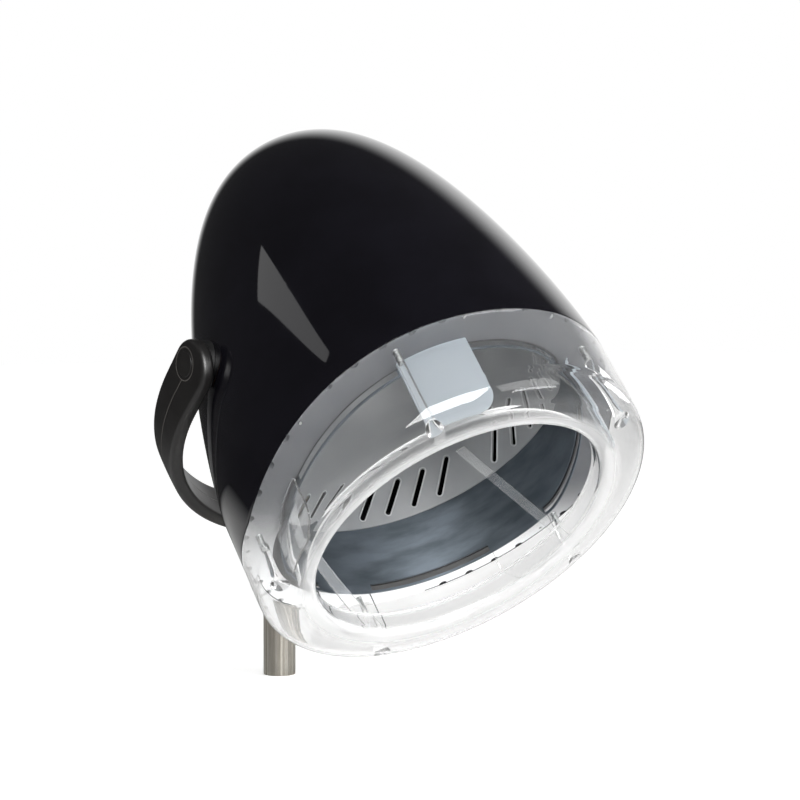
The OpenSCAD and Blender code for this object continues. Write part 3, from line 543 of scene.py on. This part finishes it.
# The tongues are frosted at the front: grey-blue, rougher and less clear there, clear behind.
frosted, shader = start_material("acrylic_frosted", "#ffffff", Roughness=0.3, IOR=1.49,
                                 Transmission_Weight=0.6)
front = add(frosted, "SeparateXYZ", {0: hood_axes(frosted)}).outputs["Y"]
clearer = add(frosted, "MapRange", {"Value": front, "From Min": -0.12, "From Max": 0.0},
              interpolation_type="SMOOTHSTEP").outputs[0]
for socket, at_front, behind in (("Transmission Weight", 0.6, 0.98), ("Roughness", 0.3, 0.03)):
    add(frosted, "MapRange", {"Value": clearer, "To Min": at_front, "To Max": behind},
        to=shader.inputs[socket])
add(frosted, "Mix", {0: clearer, 6: linear("#a9b1b7"), 7: linear("#ffffff")}, out=2, data_type="RGBA",
    to=shader.inputs["Base Color"])
lit_through(frosted, shader)
dress(frosted, "visor_tongues")


# ---------- Visor posts ----------
# Five clear acrylic rods, 7 mm thick, hold the visor's floor to the bowl's flange. Each swells to
# a foot of 17 mm where it is cemented on the floor, and a screw from above ends in its top.

def visor_floor(x, y):
    """Inner face of the tilted visor: flat at 3 up to radius 179, then the roll's inner arc."""
    r = np.hypot(x, y)
    bare = np.where(r < 179, 3.0, 21 - np.sqrt(np.maximum(18 ** 2 - np.clip(r - 179, 0, 17) ** 2, 0)))
    return hinge_z - y * np.sin(floor_tilt) + (bare - hinge_z) * np.cos(floor_tilt)


share = np.array([0, 0, .01, .02, .035, .05, .07, .1, .14, .2, .35, .5, .7, .9, 1, 1])
posts, post_faces, post_round, shaft_r, foot_r = [], [], 183, 3.4, 8.4
for angle in np.radians([36, 108, 180, 252, 324]):
    a = np.linspace(0, 2 * np.pi, 40, endpoint=False)
    tall = 70 + 30 * np.cos(angle)
    swell = shaft_r + (foot_r - shaft_r) * np.exp(-share * tall / 9)
    swell[[0, -1]] = 0
    x = post_round * np.sin(angle) + swell[:, None] * np.sin(a)
    y = -post_round * np.cos(angle) + swell[:, None] * np.cos(a)
    low, high = visor_floor(x, y) + 0.2, seam_height(y) - 0.4
    faces = grid(len(share), 40, around=True) + len(posts) * len(share) * 40
    posts.append(np.stack([x, y, low + (high - low) * share[:, None]], -1))
    post_faces.append(faces)
posts = make_mesh("visor_rods", hood_place(np.array(posts)), np.concatenate(post_faces), sharp=60)
posts.data.materials.append(acrylic)
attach(posts, "hood")
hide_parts("visor_posts")


# ---------- Bowl flange ----------
# A ring of grey ABS closes the air chamber between shell and bowl. Its upper face follows
# the joint line, and small half-round notches in its outer edge let a little air into the visor.

# ABS, grey, plain moulding with a soft sheen. It is painted greyer at the front and near white
# towards the back: painted shade at the front, under the dome, and painted light at the back. Its
# inner edge is painted near black, 2.5 mm wide and 11 at the back: painted shade in the gap
# against the skirt's cone.
flange_abs, shader = start_material("moulded_abs_grey_painted_light_and_shade", "#77797b", Roughness=0.42, IOR=1.54)
wear_in(flange_abs, shader, "#44464a", "#515356", 60, (0.36, 0.46), 1, 0.02)
own = hood_axes(flange_abs)
axes = add(flange_abs, "SeparateXYZ", {0: own})
# Painted light and shade: lighter towards the back, darker at the front.
painted_back_light = add(flange_abs, "MapRange", {"Value": axes.outputs["Y"], "From Min": 0.0, "From Max": 0.13},
             interpolation_type="SMOOTHSTEP").outputs[0]
tone = next(n for n in flange_abs.node_tree.nodes if n.type == "MIX")
tone = add(flange_abs, "Mix", {0: painted_back_light, 6: tone.outputs[2], 7: linear("#eeeff0")}, out=2,
           data_type="RGBA")
flat = add(flange_abs, "VectorMath", {0: own, 1: (1, 1, 0)}, operation="MULTIPLY")
out_by = add(flange_abs, "VectorMath", {0: flat.outputs[0]}, operation="LENGTH").outputs["Value"]
skirt_slope = 8 / 98
cone = add(flange_abs, "Math", {0: axes.outputs["Z"], 1: skirt_slope, 2: out_by},
           operation="MULTIPLY_ADD").outputs[0]
# Painted shade: a near black band along the inner edge, wider at the back.
painted_shade_edge = add(flange_abs, "Math", {0: painted_back_light, 1: 0.009, 2: 0.1688}, operation="MULTIPLY_ADD").outputs[0]
plain = add(flange_abs, "Math", {0: cone, 1: painted_shade_edge}, operation="GREATER_THAN").outputs[0]
add(flange_abs, "Mix", {0: plain, 6: linear("#161617"), 7: tone.outputs[2]}, out=2,
    to=shader.inputs["Base Color"], data_type="RGBA")
dress(flange_abs, "bowl_flange")


# ---------- Bowl skirt ----------
# The lower ring of the bowl is spun from 1.2 mm aluminium and left bare: bluish grey, with turning
# lines around it and cloudy patches where heat and cleaning have dulled it.

spun, shader = start_material("spun_aluminium_dulled", "#60686f", Metallic=0.7, Roughness=0.45)
wear_in(spun, shader, "#4f575d", "#636b73", 30, (0.38, 0.5), 2, 0.05, turn=pitch,
        stretch=(0.02, 0.02, 1), cloud=(0.5, 0.5, 2))
dress(spun, "bowl_skirt")


# ---------- Diffuser panel ----------
# The slotted bowl over the head is grey ABS, 2 mm thick: a band leaning in by 12 degrees with four
# groups of seven slanting slots, and a plain dome above. Each slot has a thin raised rim.

band_low, band_high, bowl_top, bowl_wall = 118.3, 168.0, 308.0, 2.0
bowl_low_r, bowl_high_r, band_slope, bend_z = 157.0, 146.37, 0.2139, 141


def bowl_dome(u, r, depth):
    """Dome above the band: radius r (1 - u^2.3)^(1/2.3), height rising by depth u."""
    return np.stack([r * np.maximum(1 - u ** 2.3, 0) ** (1 / 2.3), band_high + depth * u], -1)


u = np.sin(np.radians(np.linspace(0, 90, 36)))
outside = np.concatenate([[[bowl_low_r, band_low], [bowl_low_r - 5, bend_z]],
                          bowl_dome(u, bowl_high_r, bowl_top - band_high)])
inside = np.concatenate([
    bowl_dome(u, bowl_high_r - bowl_wall, bowl_top - bowl_wall - band_high)[::-1],
    [[bowl_low_r - 5 - bowl_wall, bend_z], [bowl_low_r - bowl_wall, band_low]]])
profile = np.concatenate([outside, inside, outside[:1]])
points, faces = turned(profile, 240)
bowl = make_mesh("diffuser_bowl", hood_place(points), faces, sharp=35)

slot_half, slot_r, slant, slot_z = 18.0, 2.5, np.radians(38), 143
slot_turns = np.radians([77 + 90 * g + (i - 3) * 10.8 for g in range(4) for i in range(7)])
slots = len(slot_turns)


def slot_outline(distance, count=40):
    """Outline of a slot at a distance from its middle line: two half circles, leaned by 38 degrees."""
    a = np.linspace(0, 2 * np.pi, count, endpoint=False)
    across, along = distance * np.cos(a), distance * np.sin(a) + np.sign(np.sin(a) + 1e-9) * slot_half
    return (across * np.cos(slant) - along * np.sin(slant),
            slot_z + across * np.sin(slant) + along * np.cos(slant))


def round_the_bowl(p, turns):
    """The same points once at each turn about the hood's axis."""
    x, y, z = p[..., 0], p[..., 1], p[..., 2]
    return np.array([np.stack([x * np.cos(t) - y * np.sin(t), x * np.sin(t) + y * np.cos(t), z], -1)
                     for t in turns])


x, z = slot_outline(slot_r, 24)
prism = np.stack([np.stack([x * f, np.full(24, -y), slot_z + (z - slot_z) * f], -1)
                  for f, y in ((0, 134.0), (1, 134.0), (1, 164.0), (0, 164.0))])
prisms = round_the_bowl(prism, slot_turns)
faces = np.concatenate([grid(4, 24, around=True) + k * 96 for k in range(slots)])
join_or_cut(bowl, make_mesh("slots", hood_place(prisms), faces), "DIFFERENCE", sharp=35)

# ABS, mid grey, fine moulded texture that gives an even satin sheen.
grey_abs, shader = start_material("moulded_abs_mid_grey", "#8f9193", Roughness=0.42, IOR=1.54)
wear_in(grey_abs, shader, "#8a8c8e", "#969899", 70, (0.37, 0.47), 1.2, 0.03)
bowl.data.materials.append(grey_abs)
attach(bowl, "hood")
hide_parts("diffuser_panel")
dress(grey_abs, "fan_deck")

# Slot rims: beads 1.5 mm wide that stand 0.7 mm off the inner face.
bead = np.radians(np.linspace(0, 360, 8, endpoint=False))
beads = []
for b in bead:
    x, z = slot_outline(slot_r + 0.8 + 0.75 * np.cos(b), 40)
    r = bowl_low_r - bowl_wall - (z - band_low) * band_slope - 0.7 * np.sin(b)
    beads.append(np.stack([x, -np.sqrt(r * r - x * x), z], -1))
beads = round_the_bowl(np.array(beads), slot_turns)
faces = np.concatenate([grid(8, 40, around=True, along=True) + k * 320 for k in range(slots)])
rims = make_mesh("slot_rims", hood_place(beads), faces, sharp=80)
# The same ABS, painted paler on the standing edges: a painted highlight.
highlight_abs, shader = start_material("moulded_abs_painted_highlight_edges", "#b4b6b8", Roughness=0.35, IOR=1.54)
wear_in(highlight_abs, shader, "#a9abad", "#c0c2c3", 20, (0.3, 0.4), 1, 0.02)
rims.data.materials.append(highlight_abs)
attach(rims, "hood")


# ---------- Visor ribs ----------
# Clear acrylic strips, 1.5 mm thick, stand on the visor's floor inside the opening and lean round
# along the bowl's wall, to which they are cemented. They stiffen the lip.

def bowl_inside(z):
    """Radius of the skirt's cone, less its wall, up to 118, and of the leaning band above."""
    return np.where(z < 118, 155.8 + (118 - z) * skirt_slope, 155 - (z - 118) * band_slope)


ribs, rib_faces, foot_round, rib_top = [], [], 159, 158
for start, lean, width in ((36, 0.134, 11), (103.2, 0.134, 11), (184.8, 0.2, 21), (252, 0.134, 11),
                           (324, 0.134, 11)):
    foot = visor_floor(foot_round * np.sin(np.radians(start)),
                       -foot_round * np.cos(np.radians(start))) + 0.2
    z = foot + (rib_top - foot) * np.linspace(0, 1, 60)
    low_r = bowl_inside(z) - 0.3
    across = width * np.array([-.5, -.49, -.3, 0, .3, .49, .5, .49, .3, 0, -.3, -.49])
    inward = np.array([.75, .1, 0, 0, 0, .1, .75, 1.4, 1.5, 1.5, 1.5, 1.4])
    turn = np.radians(start + lean * (z - 8))[:, None] + across / low_r[:, None]
    r = low_r[:, None] - inward
    bar = np.stack([r * np.sin(turn), -r * np.cos(turn), z[:, None] + 0 * r], -1)
    ends = np.repeat(bar[[0, -1]].mean(1, keepdims=True), 12, 1)
    bar = np.concatenate([ends[:1], bar, ends[1:]])
    rib_faces.append(grid(62, 12, around=True) + len(ribs) * 62 * 12)
    ribs.append(bar)
ribs = make_mesh("visor_ribs", hood_place(np.array(ribs)), np.concatenate(rib_faces), sharp=40)
# Acrylic, rubbed a little dull on its faces.
rubbed, shader = start_material("acrylic_rubbed", "#ffffff", Roughness=0.06, IOR=1.49,
                                Transmission_Weight=0.92)
lit_through(rubbed, shader)
ribs.data.materials.append(rubbed)
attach(ribs, "hood")


# ---------- Tilt pivot parts inside the shell ----------
# Cast zinc pads back the shell where the bolts pass, and fibre washers give the tilt its friction.

# Die-cast zinc alloy: dull grey metal with a cast skin.
cast_zinc, shader = start_material("die_cast_zinc", "#8f9294", Metallic=1.0, Roughness=0.5)
wear_in(cast_zinc, shader, "#808486", "#9b9ea0", 10, (0.44, 0.58), 1.5, 0.06)
dress(cast_zinc, "pivot_pad_left", "pivot_pad_right")

# Vulcanised fibre: red brown, matt.
fibre, shader = start_material("vulcanised_fibre", "#9a7040", Roughness=0.75, IOR=1.5)
wear_in(fibre, shader, "#8c6436", "#a87d4c", 6, (0.7, 0.8), 1, 0.05)
dress(fibre, "friction_washers")


# ---------- Fan, motor and heater ----------
# Under the apex a motor hangs in a sheet bracket over the deck and drives a radial wheel. Below
# it, a tubular element on a ceramic spider heats the air, watched by a thermostat.

# Galvanised sheet: pale grey with zinc flowers about 8 mm wide.
galvanised, shader = start_material("galvanised_sheet", "#9a9ea0", Metallic=1.0, Roughness=0.4)
wear_in(galvanised, shader, "#878c8f", "#aeb1b2", 8, (0.32, 0.5), 3, 0.03)
dress(galvanised, "fan_shroud", "motor_bracket")

# Motor can: rolled steel, chromated.
can, shader = start_material("chromated_motor_can", "#85878a", Metallic=1.0, Roughness=0.38)
wear_in(can, shader, "#7a7c80", "#919395", 18, (0.32, 0.46), 1.5, 0.03)
dress(can, "motor")

# Steatite: cream ceramic, unglazed.
steatite, shader = start_material("steatite_unglazed", "#cdc6b2", Roughness=0.65, IOR=1.6)
wear_in(steatite, shader, "#c2bba6", "#d6d0be", 14, (0.6, 0.72), 1, 0.04)
dress(steatite, "heater_frame")

# Nickel alloy sheath: heat-tinted brown steel.
sheath, shader = start_material("heat_tinted_sheath", "#6d5544", Metallic=1.0, Roughness=0.45)
wear_in(sheath, shader, "#574434", "#846853", 15, (0.38, 0.55), 1, 0.03)
dress(sheath, "heater_element")


# ---------- Controls ----------
# On the flat at the back sit a timer and a heat switch with fluted knobs, a pilot lamp between
# and below them, and the gland for the mains cord. The scales are printed in light grey.

def at_panel(x0, z0):
    """Points about +Z laid on the flat, outwards to the back, about a place on it."""
    return lambda p: hood_place(np.stack([x0 + p[..., 0], flat_y + p[..., 2], z0 - p[..., 1]], -1))


# ABS, black, gloss knob.
knob_abs, shader = start_material("polished_abs_knob", "#121214", Roughness=0.25, IOR=1.54)
wear_in(knob_abs, shader, "#101012", "#19191b", 15, (0.2, 0.32), 1, 0.01)
# Screen print: light grey ink, matt.
ink, shader = start_material("screen_print_light_grey", "#c9cacb", Roughness=0.6)
wear_in(ink, shader, "#c2c3c4", "#d0d1d2", 3, (0.55, 0.65), 0.6, 0.005)

knob_z = 165
for node, body, x0, sweep, marks in (("timer_knob", "timer_control", -38, 300, 13),
                                     ("heat_knob", "heat_control", 38, 270, 4)):
    side_view = np.concatenate([[[0, 0.5], [16.6, 0.5]], arc(16.4, 1.1, 0.6, -70, 0, 3),
                                [[17, 2.6]], arc(16.4, 2.9, 0.6, 0, 90, 4), [[14.2, 3.5]],
                                [[13.9, 4.2], [13.6, 8], [13.2, 12.6]], arc(12.2, 13.5, 1, 0, 85, 5),
                                [[6, 14.4], [0, 14.4]]])
    points, faces = turned(side_view, 144)
    a = np.arctan2(points[..., 0], -points[..., 1])
    grip = (points[..., 2] > 4) & (np.hypot(points[..., 0], points[..., 1]) > 12)
    flute = np.where(grip, 1 - 0.045 * (0.5 + 0.5 * np.cos(18 * a)) ** 2, 1)
    points = points * np.stack([flute, flute, np.ones_like(flute)], -1)
    knob = make_mesh(node + "_fluted", at_panel(x0, knob_z)(points), faces, sharp=45)
    knob.data.materials.append(knob_abs)
    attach(knob, body)
    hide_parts(node)
    # Pointer line inlaid in the knob's face, at the top of the scale when at rest.
    bar = np.array([[-.8, -11.5], [.8, -11.5], [.8, -2.5], [-.8, -2.5]])
    points = np.stack([np.concatenate([bar, np.full((4, 1), h)], 1) for h in (14.0, 14.5)])
    faces = np.concatenate([grid(2, 4, around=True), [[3, 2, 1, 0], [4, 5, 6, 7]]])
    pointer = make_mesh(node + "_pointer", at_panel(x0, knob_z)(points), faces, sharp=30)
    pointer.data.materials.append(ink)
    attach(pointer, body)
    # Scale: short bars around the knob, a longer one every third.
    bars, bar_faces = [], []
    for k in range(marks):
        t = np.radians(k * sweep / (marks - 1))
        end = 23.5 if k % 3 == 0 or marks < 5 else 22.0
        flat_bar = np.array([[-.35, -19.5], [.35, -19.5], [.35, -end], [-.35, -end]])
        flat_bar = flat_bar @ np.array([[np.cos(t), np.sin(t)], [-np.sin(t), np.cos(t)]])
        bars.append(np.stack([np.concatenate([flat_bar, np.full((4, 1), h)], 1)
                              for h in (-0.02, 0.12)]))
        bar_faces.append(np.concatenate([grid(2, 4, around=True),
                                         [[3, 2, 1, 0], [4, 5, 6, 7]]]) + 8 * k)
    scale = make_mesh(node + "_scale", at_panel(x0, knob_z)(np.array(bars)),
                      np.concatenate(bar_faces), sharp=30)
    scale.data.materials.append(ink)
    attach(scale, "hood")

# Polycarbonate, red, see-through lens of the pilot lamp.
lens_red, shader = start_material("polycarbonate_lens_red", "#a3150f", Roughness=0.12, IOR=1.585,
                                  Transmission_Weight=0.25)
wear_in(lens_red, shader, "#98120d", "#ad1a12", 4, (0.1, 0.16), 1, 0.005)
dress(lens_red, "pilot_lens")


# ---------- Studio ----------
# A pale floor and sweep, soft lamps at a plain level, and a long lens from a little above the
# level of the tube, 35 degrees to the hood's right.

def surface_piece(name, corners):
    """A flat four-sided sheet."""
    return make_mesh(name, np.array(corners, float), [[0, 1, 2, 3]], up=(0, 0, 1))


floor = surface_piece("studio_floor", [(-9, -9, 0), (9, -9, 0), (9, 9, 0), (-9, 9, 0)])
# Painted board: white, matt. To the camera and through clear parts it is lifted to the sweep's
# white, with its shadows. From 0.7 to 1.1 m off it gives way to black flags in glossy parts.
board, shader = start_material("painted_board_white", "#e9e9e8", Roughness=0.9, Specular_IOR_Level=0.2)
path = add(board, "LightPath")
lift = add(board, "Emission", {"Color": (1, 1, 1, 1), "Strength": 0.62})
seen_lift = add(board, "AddShader", {0: shader.outputs[0], 1: lift.outputs[0]})
lift = add(board, "Emission", {"Color": (1, 1, 1, 1), "Strength": 0.38})
clear_lift = add(board, "AddShader", {0: shader.outputs[0], 1: lift.outputs[0]})
place = add(board, "TexCoord").outputs["Object"]
away = add(board, "VectorMath", {0: place}, operation="LENGTH").outputs["Value"]
far = add(board, "MapRange", {"Value": away, "From Min": 0.7, "From Max": 1.1}).outputs[0]
far = add(board, "Math", {0: far, 1: path.outputs["Is Glossy Ray"]}, operation="MULTIPLY").outputs[0]
flag = add(board, "Emission", {"Color": (1, 1, 1, 1), "Strength": 0.03})
plain = add(board, "MixShader", {0: far, 1: shader.outputs[0], 2: flag.outputs[0]})
plain = add(board, "MixShader", {0: path.outputs["Is Transmission Ray"], 1: plain.outputs[0],
                                 2: clear_lift.outputs[0]})
add(board, "MixShader", {0: path.outputs["Is Camera Ray"], 1: plain.outputs[0],
                         2: seen_lift.outputs[0]},
    to=board.node_tree.nodes["Material Output"].inputs["Surface"])
floor.data.materials.append(board)

# The sweep is white to the camera and through clear parts. Glossy parts see it only behind the
# object and a little to its right, within 34 degrees, as between black flags.
world = bpy.data.worlds.new("studio")
world.use_nodes = True
bpy.context.scene.world = world
back = world.node_tree.nodes["Background"]
path = add(world, "LightPath")
toward = add(world, "TexCoord").outputs["Generated"]
ahead = add(world, "VectorMath", {0: toward, 1: (0.66, 0.73, 0.18)},
            operation="DOT_PRODUCT").outputs["Value"]
sweep = add(world, "MapRange", {"Value": ahead, "From Min": 0.83, "From Max": 0.98, "To Min": 0.04,
                                "To Max": 1.0}, interpolation_type="SMOOTHSTEP").outputs[0]
level, through_level, seen_level = 0.5, 0.93, 1.0
for rays, there in (("Is Glossy Ray", sweep), ("Is Transmission Ray", through_level),
                    ("Is Camera Ray", seen_level)):
    level = add(world, "Mix", {0: path.outputs[rays], 2: level, 3: there},
                data_type="FLOAT").outputs[0]
world.node_tree.links.new(level, back.inputs["Strength"])
back.inputs["Color"].default_value = (1, 1, 1, 1)


def soft_lamp(name, place, aim, size, power, along=None):
    """A rectangular area lamp (width, height) at a place, turned to its aim, its width along."""
    lamp = bpy.data.lights.new(name, "AREA")
    lamp.shape, lamp.energy = "RECTANGLE", power
    lamp.size, lamp.size_y = size
    obj = bpy.data.objects.new(name, lamp)
    way = np.array(aim, float) - np.array(place, float)
    across = np.cross(way, (0, 0, 1.0)) if along is None else np.array(along, float)
    across /= np.linalg.norm(across)
    way -= across * (way @ across)
    way /= np.linalg.norm(way)
    turn = np.eye(4)
    turn[:3, 0], turn[:3, 1], turn[:3, 2], turn[:3, 3] = across, np.cross(across, way), -way, place
    obj.matrix_world = Matrix(turn.tolist())
    bpy.context.scene.collection.objects.link(obj)
    return obj


key = soft_lamp("key_lamp", (1.20, -2.60, 1.45), (0, -0.3, 0.35), (1.6, 1.6), 36)
mouth = soft_lamp("mouth_lamp", (1.35, -2.70, 0.35), (0, -0.3, 0.3), (1.0, 0.5), 18)
soft_lamp("right_lamp", (2.90, 0.10, 0.95), (0, -0.2, 0.4), (1.0, 0.8), 8)
key.visible_glossy = mouth.visible_glossy = False
# A softbox that only glossy surfaces see: its reflection is the star on the visor's roll.
star = soft_lamp("star_lamp", (-0.92, -3.07, 1.53), (-0.09, -0.44, 0.31), (2.1, 2.4), 230)
star.visible_diffuse = star.visible_transmission = False
# A strip seen nearly end on: its reflection is the long wedge on the dome's side.
soft_lamp("wedge_lamp", (-2.055, 0.727, 2.393), (-0.155, -0.26, 0.40), (3.28, 0.315), 3.0,
          along=(-0.7235, -0.0082, 0.6909))

eye = bpy.data.cameras.new("camera")
eye.lens, eye.sensor_width, eye.sensor_fit = 99.0, 36.0, "HORIZONTAL"
eye.clip_start, eye.clip_end = 0.05, 60.0
camera = bpy.data.objects.new("camera", eye)
forward = np.array([0.580, 0.813, -0.050])
forward /= np.linalg.norm(forward)
across = np.cross(forward, (0, 0, 1.0))
across /= np.linalg.norm(across)
pose = np.eye(4)
pose[:3, 0], pose[:3, 1], pose[:3, 2] = across, np.cross(across, forward), -forward
pose[:3, 3] = (-1.240, -1.958, 0.406)
camera.matrix_world = Matrix(pose.tolist())
bpy.context.scene.collection.objects.link(camera)
bpy.context.scene.camera = camera
bpy.context.scene.view_settings.view_transform = "Standard"
